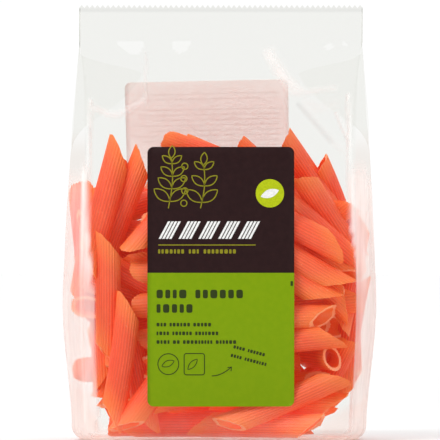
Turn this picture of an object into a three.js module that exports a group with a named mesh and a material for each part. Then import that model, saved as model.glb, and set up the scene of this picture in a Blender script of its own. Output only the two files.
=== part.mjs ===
// A clear film bag of red lentil penne, standing on its flat base, as one filled solid with its two
// stuck-on labels. Millimetres, +Z up, the front face towards -Y, the origin on the floor under the middle.

import * as THREE from 'three';

// ---------------------------------------------------------------- driving dimensions

const HEIGHT = 164;              // floor to the tips of the cut top edge
const BELLY_WIDTH = 119.2;       // widest, across the two bulging sides
const SEAL_WIDTH = 107;          // flat width of the film at the top seal
const FOOT_WIDTH = 111.4;        // across the sides just above the rounded foot
const BELLY_Z = 52;              // height of the widest place
const TOP_LEAN = 0.8;            // how far the top stands to the right of the foot
const TAPER_POWER = 1.3;         // how slowly the sides start to narrow above the belly

const FOOT_DEPTH = 54;           // front to back, at the corner creases, just above the foot
const BELLY_DEPTH = 57;          // the same at the belly and up to the shoulder
const SHOULDER_Z = 105;          // above this the two panels close towards the seal
const SEAL_Z = 150;              // lower edge of the flat seal
const SEAL_THICKNESS = 1.6;
const FOOT_RADIUS = 5.5;         // rounding all round the base
const PANEL_BULGE = 3;           // how far the front and back panels swell beyond their creases
const FOOT_BULGE = 1.2;

const CREASE_FOOT = 49.3;        // half the distance between the corner creases, from the foot up
const CREASE_BELLY = 50.8;
const CREASE_SHOULDER = 50.4;
const CREASE_POWER = 3;          // how late the creases spread out to the edges of the seal

const GUSSET_DEPTH = 29;         // how far each side folds inwards below the seal
const GUSSET_POWER = 2.2;        // how soon it folds in as the panels close
const GUSSET_CLOSING = 5;        // panel opening over which the fold runs out into the seal
const NOTCH_SHARE = 0.75;        // share of the side, around its middle, that folds inwards

const SEAL_RIB_PITCH = 2.6;      // horizontal crimps pressed into the seal
const SEAL_RIB_DEPTH = 0.22;
const TOOTH_COUNT = 54;          // zigzag cut along the top edge
const TOOTH_HEIGHT = 1.1;

// Labels: size, middle, corner radius, tilt in degrees, and the rows that follow the panel's curve.
const FRONT_LABEL = { width: 54.8, height: 96.9, x: 0.5, z: 61.6, corner: 2.3, tilt: 0, rows: 16 };
const BACK_LABEL = { width: 62, height: 95, x: -4, z: 87.9, corner: 2.3, tilt: 1.2, rows: 30 };
const LABEL_THICKNESS = 0.4;
const LABEL_GAP = 0.3;           // clearance between a label and the bag

const PANEL_SEGMENTS = 18;       // across the front and across the back
const SIDE_SEGMENTS = 12;        // round each side, an even number
const FOOT_STEPS = 5;
const BODY_STEPS = 19;           // rings between the foot and the shoulder
const ROOF_STEPS = 16;           // rings between the shoulder and the seal
const LABEL_COLUMNS = 8;
const CORNER_STEPS = 4;

// ---------------------------------------------------------------- shape of the filled bag

const lerp = (a, b, t) => a + (b - a) * t;
const clamp01 = (t) => Math.min(1, Math.max(0, t));
const smooth = (t) => clamp01(t) ** 2 * (3 - 2 * clamp01(t));

// How far up the roof z lies: 0 at the shoulder, 1 at the seal.
const roof = (z) => clamp01((z - SHOULDER_Z) / (SEAL_Z - SHOULDER_Z));

// How far z lies from the foot towards the belly.
const rise = (z) => smooth(z / BELLY_Z);

const lean = (z) => (TOP_LEAN * (z - BELLY_Z)) / HEIGHT;

// Half of the outline's width, seen from the front.
function halfWidth(z) {
  if (z < BELLY_Z) return lerp(FOOT_WIDTH, BELLY_WIDTH, rise(z)) / 2;
  const up = clamp01((z - BELLY_Z) / (SEAL_Z - BELLY_Z));
  return lerp(BELLY_WIDTH, SEAL_WIDTH, up ** TAPER_POWER) / 2;
}

// Half of the distance between the left and right corner creases.
function creaseHalfWidth(z) {
  if (z < BELLY_Z) return lerp(CREASE_FOOT, CREASE_BELLY, rise(z));
  const upper = lerp(CREASE_BELLY, CREASE_SHOULDER, smooth((z - BELLY_Z) / (SHOULDER_Z - BELLY_Z)));
  return lerp(upper, SEAL_WIDTH / 2, roof(z) ** CREASE_POWER);
}

// Half of the distance between the front and back corner creases.
function halfDepth(z) {
  const body = lerp(FOOT_DEPTH, BELLY_DEPTH, rise(z)) / 2;
  return lerp(body, SEAL_THICKNESS / 2, smooth(roof(z)));
}

// How far the middle of a panel swells beyond its creases.
function panelBulge(z) {
  return lerp(FOOT_BULGE, PANEL_BULGE, rise(z)) * (1 - smooth(roof(z)));
}

// How far the middle of a side folds inwards, as the panels above the shoulder close up.
function gussetFold(z) {
  const opening = 1 - smooth(roof(z));
  const runOut = smooth((halfDepth(z) - SEAL_THICKNESS / 2) / GUSSET_CLOSING);
  return GUSSET_DEPTH * (1 - opening ** GUSSET_POWER) * runOut;
}

// How far a side swells outwards between its creases, so that it reaches the outline. Where its middle
// folds in deeply, only the two lobes beside the fold are left to reach it.
function sideBulge(z) {
  if (z >= SEAL_Z) return 0;
  const reach = halfWidth(z) - creaseHalfWidth(z);
  const fold = gussetFold(z);
  const lobes = reach / (1 - NOTCH_SHARE ** 2);
  if (fold > 2 * NOTCH_SHARE ** 2 * lobes) return lobes;
  const sum = reach + fold;
  return (sum + Math.sqrt(sum ** 2 - (fold / NOTCH_SHARE) ** 2)) / 2;
}

// Crimps pressed into the seal: a zigzag that stands out at every half pitch above its lower edge.
function sealRib(z) {
  if (z <= SEAL_Z) return 0;
  return (SEAL_RIB_DEPTH / 2) * (1 - Math.cos((2 * Math.PI * (z - SEAL_Z)) / SEAL_RIB_PITCH));
}

// The swollen front or back panel, as its distance from the bag's middle plane.
function panelY(x, z) {
  const across = (x - lean(z)) / creaseHalfWidth(z);
  return halfDepth(z) + panelBulge(z) * (1 - across ** 2) + sealRib(z);
}

// How much a ring shrinks to round the foot: the inset at height z.
function footInset(z) {
  if (z >= FOOT_RADIUS) return 0;
  return FOOT_RADIUS - Math.sqrt(FOOT_RADIUS ** 2 - (FOOT_RADIUS - z) ** 2);
}

// One closed ring of points at height z, counter-clockwise seen from above.
function ring(z) {
  const crease = creaseHalfWidth(z);
  const depth = halfDepth(z) + sealRib(z);
  const points = [];
  for (let i = 0; i < PANEL_SEGMENTS; i += 1) {
    const x = lean(z) + crease * lerp(-1, 1, i / PANEL_SEGMENTS);
    points.push([x, -panelY(x, z)]);
  }
  for (let i = 0; i < SIDE_SEGMENTS; i += 1) {
    const s = lerp(-1, 1, i / SIDE_SEGMENTS);
    const fold = gussetFold(z) * Math.max(0, 1 - Math.abs(s) / NOTCH_SHARE);
    points.push([lean(z) + crease + sideBulge(z) * (1 - s ** 2) - fold, depth * s]);
  }
  const half = points.map(([x, y]) => [2 * lean(z) - x, -y]);
  const inset = footInset(z);
  const shrinkX = 1 - inset / halfWidth(z);
  const shrinkY = 1 - inset / (depth + panelBulge(z));
  return [...points, ...half].map(([x, y]) => [x * shrinkX, y * shrinkY, z]);
}

// ---------------------------------------------------------------- mesh helpers

function meshFrom(name, vertices, triangles, material) {
  const geometry = new THREE.BufferGeometry();
  geometry.setAttribute('position', new THREE.Float32BufferAttribute(vertices.flat(), 3));
  geometry.setIndex(triangles.flat());
  geometry.computeVertexNormals();
  const mesh = new THREE.Mesh(geometry, material);
  mesh.name = name;
  return mesh;
}

// Two triangles for the quad a-b-c-d, counter-clockwise seen from outside.
const quad = (a, b, c, d) => [[a, b, c], [a, c, d]];

// ---------------------------------------------------------------- the bag

// Heights of the rings: the rounded foot, the body, the closing roof and the crimped seal.
function ringHeights() {
  const heights = [];
  for (let i = 0; i < FOOT_STEPS; i += 1) {
    heights.push(FOOT_RADIUS * (1 - Math.cos((Math.PI / 2) * (i / FOOT_STEPS))));
  }
  for (let i = 0; i < BODY_STEPS; i += 1) heights.push(lerp(FOOT_RADIUS, SHOULDER_Z, i / BODY_STEPS));
  for (let i = 0; i <= ROOF_STEPS; i += 1) heights.push(lerp(SHOULDER_Z, SEAL_Z, i / ROOF_STEPS));
  const crimp = SEAL_RIB_PITCH / 2;
  for (let z = SEAL_Z + crimp; z < HEIGHT - TOOTH_HEIGHT - crimp / 2; z += crimp) heights.push(z);
  return heights;
}

// The zigzag top edge, from left to right, on the front (side -1) or the back (side 1) of the seal.
function toothLine(side) {
  const points = [];
  const half = SEAL_WIDTH / 2;
  for (let i = 0; i <= 2 * TOOTH_COUNT; i += 1) {
    const x = lean(HEIGHT) + lerp(-half, half, i / (2 * TOOTH_COUNT));
    const z = HEIGHT - TOOTH_HEIGHT * (i % 2 === 0 ? 1 : 0);
    points.push([x, (side * SEAL_THICKNESS) / 2, z]);
  }
  return points;
}

// Joins one side of the last ring, corner to corner, to its tooth line with fans of triangles.
function stitch(ringIndices, toothIndices, flip) {
  const triangles = [];
  const perSegment = (toothIndices.length - 1) / (ringIndices.length - 1);
  for (let i = 0; i + 1 < ringIndices.length; i += 1) {
    const start = i * perSegment;
    const middle = start + perSegment / 2;
    for (let k = start; k < start + perSegment; k += 1) {
      const corner = k < middle ? ringIndices[i] : ringIndices[i + 1];
      triangles.push([corner, toothIndices[k + 1], toothIndices[k]]);
    }
    triangles.push([ringIndices[i], ringIndices[i + 1], toothIndices[middle]]);
  }
  return flip ? triangles.map(([a, b, c]) => [a, c, b]) : triangles;
}

function bag(material) {
  const heights = ringHeights();
  const vertices = heights.flatMap((z) => ring(z));
  const count = 2 * (PANEL_SEGMENTS + SIDE_SEGMENTS);
  const triangles = [];
  for (let r = 0; r + 1 < heights.length; r += 1) {
    for (let i = 0; i < count; i += 1) {
      const a = r * count + i;
      const b = r * count + ((i + 1) % count);
      triangles.push(...quad(a, b, b + count, a + count));
    }
  }

  const centre = vertices.push([0, 0, 0]) - 1;
  for (let i = 0; i < count; i += 1) triangles.push([centre, (i + 1) % count, i]);

  // The last ring's corners, in the order front left, front right, back right, back left.
  const last = (heights.length - 1) * count;
  const corners = [0, PANEL_SEGMENTS, count / 2, count / 2 + PANEL_SEGMENTS].map((i) => last + i);
  const frontRing = Array.from({ length: PANEL_SEGMENTS + 1 }, (_, i) => corners[0] + i);
  const backRing = Array.from({ length: PANEL_SEGMENTS + 1 }, (_, i) => corners[3] - i);
  const firstTooth = vertices.length;
  const teeth = 2 * TOOTH_COUNT + 1;
  vertices.push(...toothLine(-1), ...toothLine(1));
  const frontTeeth = Array.from({ length: teeth }, (_, i) => firstTooth + i);
  const backTeeth = frontTeeth.map((i) => i + teeth);
  triangles.push(...stitch(frontRing, frontTeeth, false), ...stitch(backRing, backTeeth, true));
  for (let i = 0; i + 1 < teeth; i += 1) {
    triangles.push(...quad(frontTeeth[i], frontTeeth[i + 1], backTeeth[i + 1], backTeeth[i]));
  }

  // The two narrow ends of the seal, between the last ring's side points and the teeth.
  for (let i = 0; i < SIDE_SEGMENTS; i += 1) {
    const right = corners[1] + i;
    const left = corners[3] + i;
    const leftNext = i + 1 < SIDE_SEGMENTS ? left + 1 : corners[0];
    triangles.push([right, right + 1, frontTeeth[teeth - 1]], [left, leftNext, backTeeth[0]]);
  }
  triangles.push([corners[2], backTeeth[teeth - 1], frontTeeth[teeth - 1]]);
  triangles.push([corners[0], frontTeeth[0], backTeeth[0]]);
  return meshFrom('bag', vertices, triangles, material);
}

// ---------------------------------------------------------------- the labels

// A point `out` millimetres off the panel, on the front (side -1) or the back (side 1).
function offPanel(x, z, side, out) {
  const step = 0.5;              // half the span over which the slope is taken
  const slopeX = (panelY(x + step, z) - panelY(x - step, z)) / (2 * step);
  const slopeZ = (panelY(x, z + step) - panelY(x, z - step)) / (2 * step);
  const length = Math.hypot(1, slopeX, slopeZ);
  const y = panelY(x, z) + out / length;
  return [x - (out * slopeX) / length, side * y, z - (out * slopeZ) / length];
}

// Heights of a label's rows and its half width there, closer together round the corners.
function labelRows({ width, height, corner, rows }) {
  const bottom = [];
  for (let i = 0; i <= CORNER_STEPS; i += 1) {
    const angle = (Math.PI / 2) * (i / CORNER_STEPS);
    const half = width / 2 - corner * (1 - Math.sin(angle));
    bottom.push([-height / 2 + corner * (1 - Math.cos(angle)), half]);
  }
  const inner = [];
  for (let i = 1; i < rows; i += 1) {
    inner.push([lerp(-height / 2 + corner, height / 2 - corner, i / rows), width / 2]);
  }
  const top = bottom.map(([z, half]) => [-z, half]).reverse();
  return [...bottom, ...inner, ...top];
}

function label(name, size, side, material) {
  const rows = labelRows(size);
  const tilt = THREE.MathUtils.degToRad(size.tilt);
  const vertices = [];
  for (const out of [LABEL_GAP, LABEL_GAP + LABEL_THICKNESS]) {
    for (const [v, half] of rows) {
      for (let i = 0; i <= LABEL_COLUMNS; i += 1) {
        const u = lerp(-half, half, i / LABEL_COLUMNS);
        const x = size.x + u * Math.cos(tilt) - v * Math.sin(tilt);
        const z = size.z + u * Math.sin(tilt) + v * Math.cos(tilt);
        vertices.push(offPanel(x, z, side, out));
      }
    }
  }

  const columns = LABEL_COLUMNS + 1;
  const layer = rows.length * columns;
  const at = (k, r, c) => k * layer + r * columns + c;
  const triangles = [];
  for (let r = 0; r + 1 < rows.length; r += 1) {
    for (let c = 0; c < LABEL_COLUMNS; c += 1) {
      triangles.push(...quad(at(1, r, c), at(1, r, c + 1), at(1, r + 1, c + 1), at(1, r + 1, c)));
      triangles.push(...quad(at(0, r, c), at(0, r + 1, c), at(0, r + 1, c + 1), at(0, r, c + 1)));
    }
    const end = LABEL_COLUMNS;
    triangles.push(...quad(at(1, r, end), at(0, r, end), at(0, r + 1, end), at(1, r + 1, end)));
    triangles.push(...quad(at(0, r, 0), at(1, r, 0), at(1, r + 1, 0), at(0, r + 1, 0)));
  }
  const top = rows.length - 1;
  for (let c = 0; c < LABEL_COLUMNS; c += 1) {
    triangles.push(...quad(at(0, 0, c), at(0, 0, c + 1), at(1, 0, c + 1), at(1, 0, c)));
    triangles.push(...quad(at(1, top, c), at(1, top, c + 1), at(0, top, c + 1), at(0, top, c)));
  }
  const facing = side < 0 ? triangles : triangles.map(([a, b, c]) => [a, c, b]);
  return meshFrom(name, vertices, facing, material);
}

// ---------------------------------------------------------------- materials and assembly

const filledFilm = new THREE.MeshStandardMaterial({ color: 0xf09070, roughness: 0.35, metalness: 0 });
const frontPaper = new THREE.MeshStandardMaterial({ color: 0x6a7a1c, roughness: 0.55, metalness: 0 });
const backPaper = new THREE.MeshStandardMaterial({ color: 0xf0e9e6, roughness: 0.6, metalness: 0 });

const part = new THREE.Group();
part.add(
  bag(filledFilm),
  label('front_label', FRONT_LABEL, -1, frontPaper),
  label('back_label', BACK_LABEL, 1, backPaper),
);

export default part;
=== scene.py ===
"""Looks for a clear film bag of red lentil penne, standing, with a label on its front and on its back.

The film, the penne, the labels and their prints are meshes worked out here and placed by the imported
solids. Everything is in millimetres, front towards -Y, until a mesh is made."""

import math

import bpy
import numpy as np
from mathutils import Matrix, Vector

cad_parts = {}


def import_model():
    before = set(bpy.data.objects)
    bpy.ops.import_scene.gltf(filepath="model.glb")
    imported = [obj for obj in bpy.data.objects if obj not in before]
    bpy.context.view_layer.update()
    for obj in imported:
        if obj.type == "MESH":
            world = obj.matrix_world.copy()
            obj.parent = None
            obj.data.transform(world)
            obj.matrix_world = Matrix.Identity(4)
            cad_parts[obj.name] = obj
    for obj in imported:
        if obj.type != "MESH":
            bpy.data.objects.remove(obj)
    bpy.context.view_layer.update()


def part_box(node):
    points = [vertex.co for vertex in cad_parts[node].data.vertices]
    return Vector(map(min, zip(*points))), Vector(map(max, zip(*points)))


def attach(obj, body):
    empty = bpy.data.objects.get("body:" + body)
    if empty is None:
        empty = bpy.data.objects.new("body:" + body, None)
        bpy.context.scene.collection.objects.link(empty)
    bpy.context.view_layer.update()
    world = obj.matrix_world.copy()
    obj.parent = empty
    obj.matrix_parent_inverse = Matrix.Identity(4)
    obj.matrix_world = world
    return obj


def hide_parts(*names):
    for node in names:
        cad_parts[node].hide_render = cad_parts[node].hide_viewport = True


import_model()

MM = 0.001
BODY = "root"

# ---- sizes of the bag

bag_low, bag_high = (np.array(corner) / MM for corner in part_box("bag"))
HEIGHT = bag_high[2]
BELLY_WIDTH = bag_high[0] - bag_low[0]
SEAL_WIDTH = 107.0
FOOT_WIDTH = 111.4
BELLY_Z = 52.0
TOP_LEAN = 0.8
TAPER_POWER = 1.3

FOOT_DEPTH = 54.0
BELLY_DEPTH = 57.0
SHOULDER_Z = 105.0
SEAL_Z = 150.0
SEAL_THICKNESS = 1.6
FOOT_RADIUS = 5.5
PANEL_BULGE = 3.0
FOOT_BULGE = 1.2

CREASE_FOOT = 49.3
CREASE_BELLY = 50.8
CREASE_SHOULDER = 50.4
CREASE_POWER = 3

GUSSET_DEPTH = 29.0
GUSSET_POWER = 2.2
GUSSET_CLOSING = 5.0
NOTCH_SHARE = 0.75

SEAL_RIB_PITCH = 2.6
SEAL_RIB_DEPTH = 0.22
TOOTH_COUNT = 54
TOOTH_HEIGHT = 1.1

FRONT_LABEL = {"width": 54.8, "height": 96.9, "x": 0.5, "z": 61.6, "tilt": 0.0}
BACK_LABEL = {"width": 62.0, "height": 95.0, "x": -4.0, "z": 87.9, "tilt": 1.2}
LABEL_CORNER = 2.3
FRONT, BACK = -1, 1
LABEL_GAP = 0.12
LABEL_THICKNESS = 0.16
PRINT_GAP = 0.05
FIELD_SPLIT = 1.5  # where the dark field of the front label ends, above the label's middle

# ---- shape of the filled bag


def lerp(a, b, t):
    return a + (b - a) * t


def smooth(t):
    t = np.clip(t, 0, 1)
    return t * t * (3 - 2 * t)


def ramp(value, start, end):
    """Eased from 0 at start to 1 at end, whichever is higher, and level beyond them."""
    return smooth((value - start) / (end - start))


def roof(z):
    """How far up the closing roof z lies: 0 at the shoulder, 1 at the seal."""
    return np.clip((z - SHOULDER_Z) / (SEAL_Z - SHOULDER_Z), 0, 1)


def rise(z):
    return ramp(z, 0, BELLY_Z)


def lean_at(z):
    return TOP_LEAN * (z - BELLY_Z) / HEIGHT


def half_width(z):
    low = lerp(FOOT_WIDTH, BELLY_WIDTH, rise(z)) / 2
    up = np.clip((z - BELLY_Z) / (SEAL_Z - BELLY_Z), 0, 1)
    return np.where(z < BELLY_Z, low, lerp(BELLY_WIDTH, SEAL_WIDTH, up**TAPER_POWER) / 2)


def crease_half_width(z):
    low = lerp(CREASE_FOOT, CREASE_BELLY, rise(z))
    upper = lerp(CREASE_BELLY, CREASE_SHOULDER, ramp(z, BELLY_Z, SHOULDER_Z))
    return np.where(z < BELLY_Z, low, lerp(upper, SEAL_WIDTH / 2, roof(z) ** CREASE_POWER))


def half_depth(z):
    return lerp(lerp(FOOT_DEPTH, BELLY_DEPTH, rise(z)) / 2, SEAL_THICKNESS / 2, smooth(roof(z)))


def panel_bulge(z):
    return lerp(FOOT_BULGE, PANEL_BULGE, rise(z)) * (1 - smooth(roof(z)))


def gusset_fold(z):
    opening = 1 - smooth(roof(z))
    run_out = smooth((half_depth(z) - SEAL_THICKNESS / 2) / GUSSET_CLOSING)
    return GUSSET_DEPTH * (1 - opening**GUSSET_POWER) * run_out


def side_bulge(z):
    """How far a side swells between its creases, so that it, or the lobes beside its fold, reach the
    outline."""
    reach = np.maximum(0, half_width(z) - crease_half_width(z))
    fold = gusset_fold(z)
    lobes = reach / (1 - NOTCH_SHARE**2)
    total = reach + fold
    full = (total + np.sqrt(np.maximum(0, total**2 - (fold / NOTCH_SHARE) ** 2))) / 2
    return np.where(fold > 2 * NOTCH_SHARE**2 * lobes, lobes, full)


def seal_rib(z):
    wave = 1 - np.cos(2 * np.pi * (z - SEAL_Z) / SEAL_RIB_PITCH)
    return np.where(z <= SEAL_Z, 0, SEAL_RIB_DEPTH / 2 * wave)


def foot_inset(z):
    rounding = np.sqrt(np.maximum(0, FOOT_RADIUS**2 - (FOOT_RADIUS - z) ** 2))
    return np.where(z >= FOOT_RADIUS, 0, FOOT_RADIUS - rounding)


def panel_reach(share, z):
    """How far the front or back is off the bag's middle plane, at a share from -1 to 1 across it."""
    return half_depth(z) + panel_bulge(z) * (1 - share**2) + seal_rib(z)


def side_reach(share, z):
    """How far a side is off the bag's middle plane, at a share from -1 to 1 across it."""
    notch = gusset_fold(z) * np.maximum(0, 1 - np.abs(share) / NOTCH_SHARE)
    return crease_half_width(z) + side_bulge(z) * (1 - share**2) - notch


def panel_y(x, z):
    return panel_reach(np.clip((x - lean_at(z)) / crease_half_width(z), -1, 1), z)


def side_x(y, z):
    return side_reach(np.clip(np.abs(y) / half_depth(z), 0, 1), z)


# ---- meshes and materials


def placed(name, data):
    """A new object of the scene that holds a mesh, a light or a camera."""
    made = bpy.data.objects.new(name, data)
    bpy.context.scene.collection.objects.link(made)
    return made


def mesh_piece(name, points, faces, materials, smooth_faces=True, face_material=None):
    """A mesh object from points in millimetres and an array, or a list, of faces."""
    mesh = bpy.data.meshes.new(name)
    mesh.from_pydata((np.asarray(points) * MM).tolist(), [], [list(map(int, f)) for f in faces])
    for material in materials:
        mesh.materials.append(material)
    if face_material is not None:
        mesh.polygons.foreach_set("material_index", np.asarray(face_material, np.int32))
    mesh.polygons.foreach_set("use_smooth", np.full(len(mesh.polygons), smooth_faces))
    mesh.update()
    return placed(name, mesh)


def paint(piece, name, values, domain="POINT"):
    """Stores one number for each vertex, or each face, for the materials to read."""
    attribute = piece.data.attributes.new(name, "FLOAT", domain)
    attribute.data.foreach_set("value", np.asarray(values, np.float32).ravel())


def unit(v):
    return v / np.maximum(np.linalg.norm(v, axis=-1, keepdims=True), 1e-9)


def turned(u, v, degrees):
    """Steps to the right and up, turned counter-clockwise."""
    turn = math.radians(degrees)
    return u * math.cos(turn) - v * math.sin(turn), u * math.sin(turn) + v * math.cos(turn)


def circle(count):
    """x and y of points evenly round a circle of radius 1."""
    angle = np.linspace(0, 2 * np.pi, count, endpoint=False)
    return np.cos(angle), np.sin(angle)


def grid_faces(rows, columns, closed=False):
    """Quads of a grid of points stored row by row, whose columns may close into a ring."""
    r, c = np.meshgrid(np.arange(rows - 1), np.arange(columns - (not closed)), indexing="ij")
    a = (r * columns + c).ravel()
    b = (r * columns + (c + 1) % columns).ravel()
    return np.stack([a, b, b + columns, a + columns], 1)


def linear(red, green, blue):
    """A display colour, 0 to 255 each, as the linear colour that the shaders take."""
    c = np.array([red, green, blue]) / 255
    c = np.where(c <= 0.04045, c / 12.92, ((c + 0.055) / 1.055) ** 2.4)
    return (*c.tolist(), 1.0)


class Shading:
    """A new material, or world, and short ways to fill its node tree."""

    def __init__(self, name, kinds=bpy.data.materials):
        self.owner = kinds.new(name)
        self.owner.use_nodes = True
        self.tree = self.owner.node_tree
        self.tree.nodes.clear()

    def node(self, kind, inputs=None, **settings):
        """A new shader node, with its inputs set or linked by name or number."""
        made = self.tree.nodes.new("ShaderNode" + kind)
        for key, value in settings.items():
            setattr(made, key, value)
        for key, value in (inputs or {}).items():
            if isinstance(value, bpy.types.NodeSocket):
                self.tree.links.new(value, made.inputs[key])
            else:
                made.inputs[key].default_value = value
        return made

    def times(self, first, second, clamp=False):
        inputs = {0: first, 1: second}
        return self.node("Math", inputs, operation="MULTIPLY", use_clamp=clamp).outputs[0]

    def span(self, value, low, high, to_low=0.0, to_high=1.0):
        """Value carried from the range low..high to to_low..to_high, smoothly and clamped."""
        inputs = {"Value": value, 1: low, 2: high, 3: to_low, 4: to_high}
        return self.node("MapRange", inputs, interpolation_type="SMOOTHSTEP").outputs[0]

    def mix(self, share, first, second):
        return self.node("Mix", {0: share, 6: first, 7: second}, data_type="RGBA").outputs[2]

    def blend(self, share, first, second):
        """The first shader with a share of the second."""
        return self.node("MixShader", {0: share, 1: first.outputs[0], 2: second.outputs[0]})

    def attribute(self, name):
        return self.node("Attribute", attribute_name=name).outputs["Fac"]

    def place(self):
        return self.node("TexCoord").outputs["Object"]

    def noise(self, scale, detail=2.0, stretch=None):
        """Noise of about `scale` waves a metre, optionally stretched along the axes."""
        vector = self.place()
        if stretch is not None:
            vector = self.node("Mapping", {"Vector": vector, "Scale": stretch}).outputs[0]
        inputs = {"Vector": vector, "Scale": scale, "Detail": detail}
        return self.node("TexNoise", inputs).outputs["Fac"]

    def bump(self, height, strength, distance):
        inputs = {"Height": height, "Strength": strength, "Distance": distance}
        return self.node("Bump", inputs).outputs[0]

    def finish(self, surface, output="OutputMaterial"):
        self.node(output, {"Surface": surface.outputs[0]})
        return self.owner


# ---- film

ACROSS_STEPS = 2 * TOOTH_COUNT  # columns over a panel, one for each flank of a tooth
AROUND_STEPS = 56  # columns over a side
BASE_RINGS = 12
BODY_STEP, ROOF_STEP = 0.95, 0.8  # between rings
PANEL_DENT, SIDE_DENT = 0.35, 0.4  # depth of the film's slight unevenness
DENT_FOOT = 12  # from the floor to this height it fades in
RIPPLE_COUNT = 7
RIPPLE_LENGTH = 9, 34
LABEL_MARGIN = 3.0  # the film is even under a label and this far round it
FILM_TINT = (0.93, 0.932, 0.918, 1)  # what one layer of a panel lets through
GUSSET_TINT = (0.985, 0.985, 0.98, 1)
PANEL_VEIL = 0.004  # milky share of the front and back panels
SIDE_VEIL = 0.30  # of the sides below the roof: their haze and a painted reflection of the bright studio
LOW_GLARE, HIGH_GLARE = (0.46, 0.4), (0.68, 0.66)  # of the bands along the left and right creases
GLARE_RISE = 52, 72  # between these heights the low glare turns into the high one
GLARE_TOP = 107  # no glare above this
GLARE_FULL, GLARE_END = (2, 7), (5, 22)  # how far back from the left and right creases it reaches
LOW_PAINTED_GLARE = (  # the film by the floor, whitened by painted glare from the bright floor: milky share, and where it starts and is full
    (0.055, 16, 5),  # lowest part, which mirrors the floor
    (0.22, 4, 1.5),  # just above the floor
    (0.8, 1.6, 0.5),  # where it rounds into its base
)
FILM_GLOW = 0.075  # painted glow: emission that stands in for light the milky film scatters from behind
MILKY_GLOSS = 0.2  # specular level of the milky film
LOW_WHITE, HIGH_WHITE = (244, 243, 240), (252, 251, 249)
SHADE_TINT = (0.45, 0.45, 0.45, 1)
TEETH_SHADE = 0.10
ROOF_EDGE = 0.4  # how much the sides' outermost strips in the roof are greyed
SQUARE_ON = 0.3  # how much of the sides' milky share, haze and painted reflection, is left where they are seen square on
SIDE_WARMTH = 0.5  # how much the sides mirror the penne
WARM_TINT = (0.935, 0.892, 0.868, 1)  # of the corners near the floor, which mirror the penne
WARM_MILK = (0.95, 0.85, 0.80, 1)


def film_heights():
    foot = FOOT_RADIUS * (1 - np.cos(np.linspace(0, np.pi / 2, 9)))[:-1]
    body = np.arange(FOOT_RADIUS, SHOULDER_Z, BODY_STEP)
    closing = np.arange(SHOULDER_Z, SEAL_Z, ROOF_STEP)
    seal = np.arange(SEAL_Z, HEIGHT - TOOTH_HEIGHT - 0.3, SEAL_RIB_PITCH / 4)
    return np.concatenate([foot, body, closing, seal])


def ripples(u, v, seed):
    """A sum of waves over a sheet, between about -1 and 1, for the film's slight unevenness."""
    draw = np.random.default_rng(seed)
    total = np.zeros(np.broadcast(u, v).shape)
    for _ in range(RIPPLE_COUNT):
        length, angle = draw.uniform(*RIPPLE_LENGTH), draw.uniform(-0.9, 0.9)
        phase = draw.uniform(0, 2 * np.pi)
        along = u * np.cos(angle) + v * np.sin(angle)
        total += np.sin(2 * np.pi * along / length + phase + 0.8 * np.sin(v / 17 + phase))
    return total / RIPPLE_COUNT


def label_mask(x, z, label):
    """1 under a label, falling to 0 within a margin of its edge."""
    dx = np.abs(x - label["x"]) - label["width"] / 2
    dz = np.abs(z - label["z"]) - label["height"] / 2
    return 1 - ramp(np.maximum(dx, dz), 0, LABEL_MARGIN)


def film_rings(z):
    """Rings of points round the bag at heights z, counter-clockwise from the front's left crease."""
    z = z[:, None]
    a = np.linspace(-1, 1, ACROSS_STEPS, endpoint=False)[None]
    s = np.linspace(-1, 1, AROUND_STEPS, endpoint=False)[None]
    crease = crease_half_width(z)
    above_foot = ramp(z, 0, DENT_FOOT)
    free = np.clip((1 - np.abs(a)) * 8, 0, 1) * above_foot * ramp(z, SEAL_Z + 6, SEAL_Z - 14)
    halves = []
    for turn, label in ((1, FRONT_LABEL), (-1, BACK_LABEL)):
        x = turn * crease * a
        dents = PANEL_DENT * ripples(x, 0.45 * z, 11 + turn) * free
        y = panel_reach(a, z) + dents * (1 - label_mask(x, z, label))
        dents = SIDE_DENT * (1 + ripples(50 * s, 0.4 * z, 21 + turn)) * (1 - s**2) * above_foot
        side = side_reach(s, z) - dents
        depth = (half_depth(z) + seal_rib(z)) * s
        halves.append(np.concatenate([x, turn * side], 1))
        halves.append(np.concatenate([-turn * y, turn * depth], 1))
    x = np.concatenate([halves[0], halves[2]], 1) + lean_at(z)
    y = np.concatenate([halves[1], halves[3]], 1)
    inset = foot_inset(z)
    x = x * (1 - inset / half_width(z))
    y = y * (1 - inset / (half_depth(z) + panel_bulge(z)))
    return np.stack([x, y, np.broadcast_to(z, x.shape)], 2)


def stroke_mask(x, z, points, width):
    """1 along a polyline over the panel, falling to 0 at its width."""
    nearest = np.full(x.shape, 1e9)
    for (x0, z0), (x1, z1) in zip(points, points[1:]):
        dx, dz = x1 - x0, z1 - z0
        t = np.clip(((x - x0) * dx + (z - z0) * dz) / (dx * dx + dz * dz), 0, 1)
        nearest = np.minimum(nearest, np.hypot(x - x0 - t * dx, z - z0 - t * dz))
    return ramp(nearest, width, 0)


# Where the film is creased at the corners of the front, as (x, z) from the foot up.
LEFT_CREASE = ((-45.8, 8), (-46.1, 28), (-47.3, 56), (-49.1, 79), (-49.2, 128))
RIGHT_CREASE = ((51.8, 10), (51.8, 50), (51.2, 68), (48.3, 82), (48.3, 130))
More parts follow.
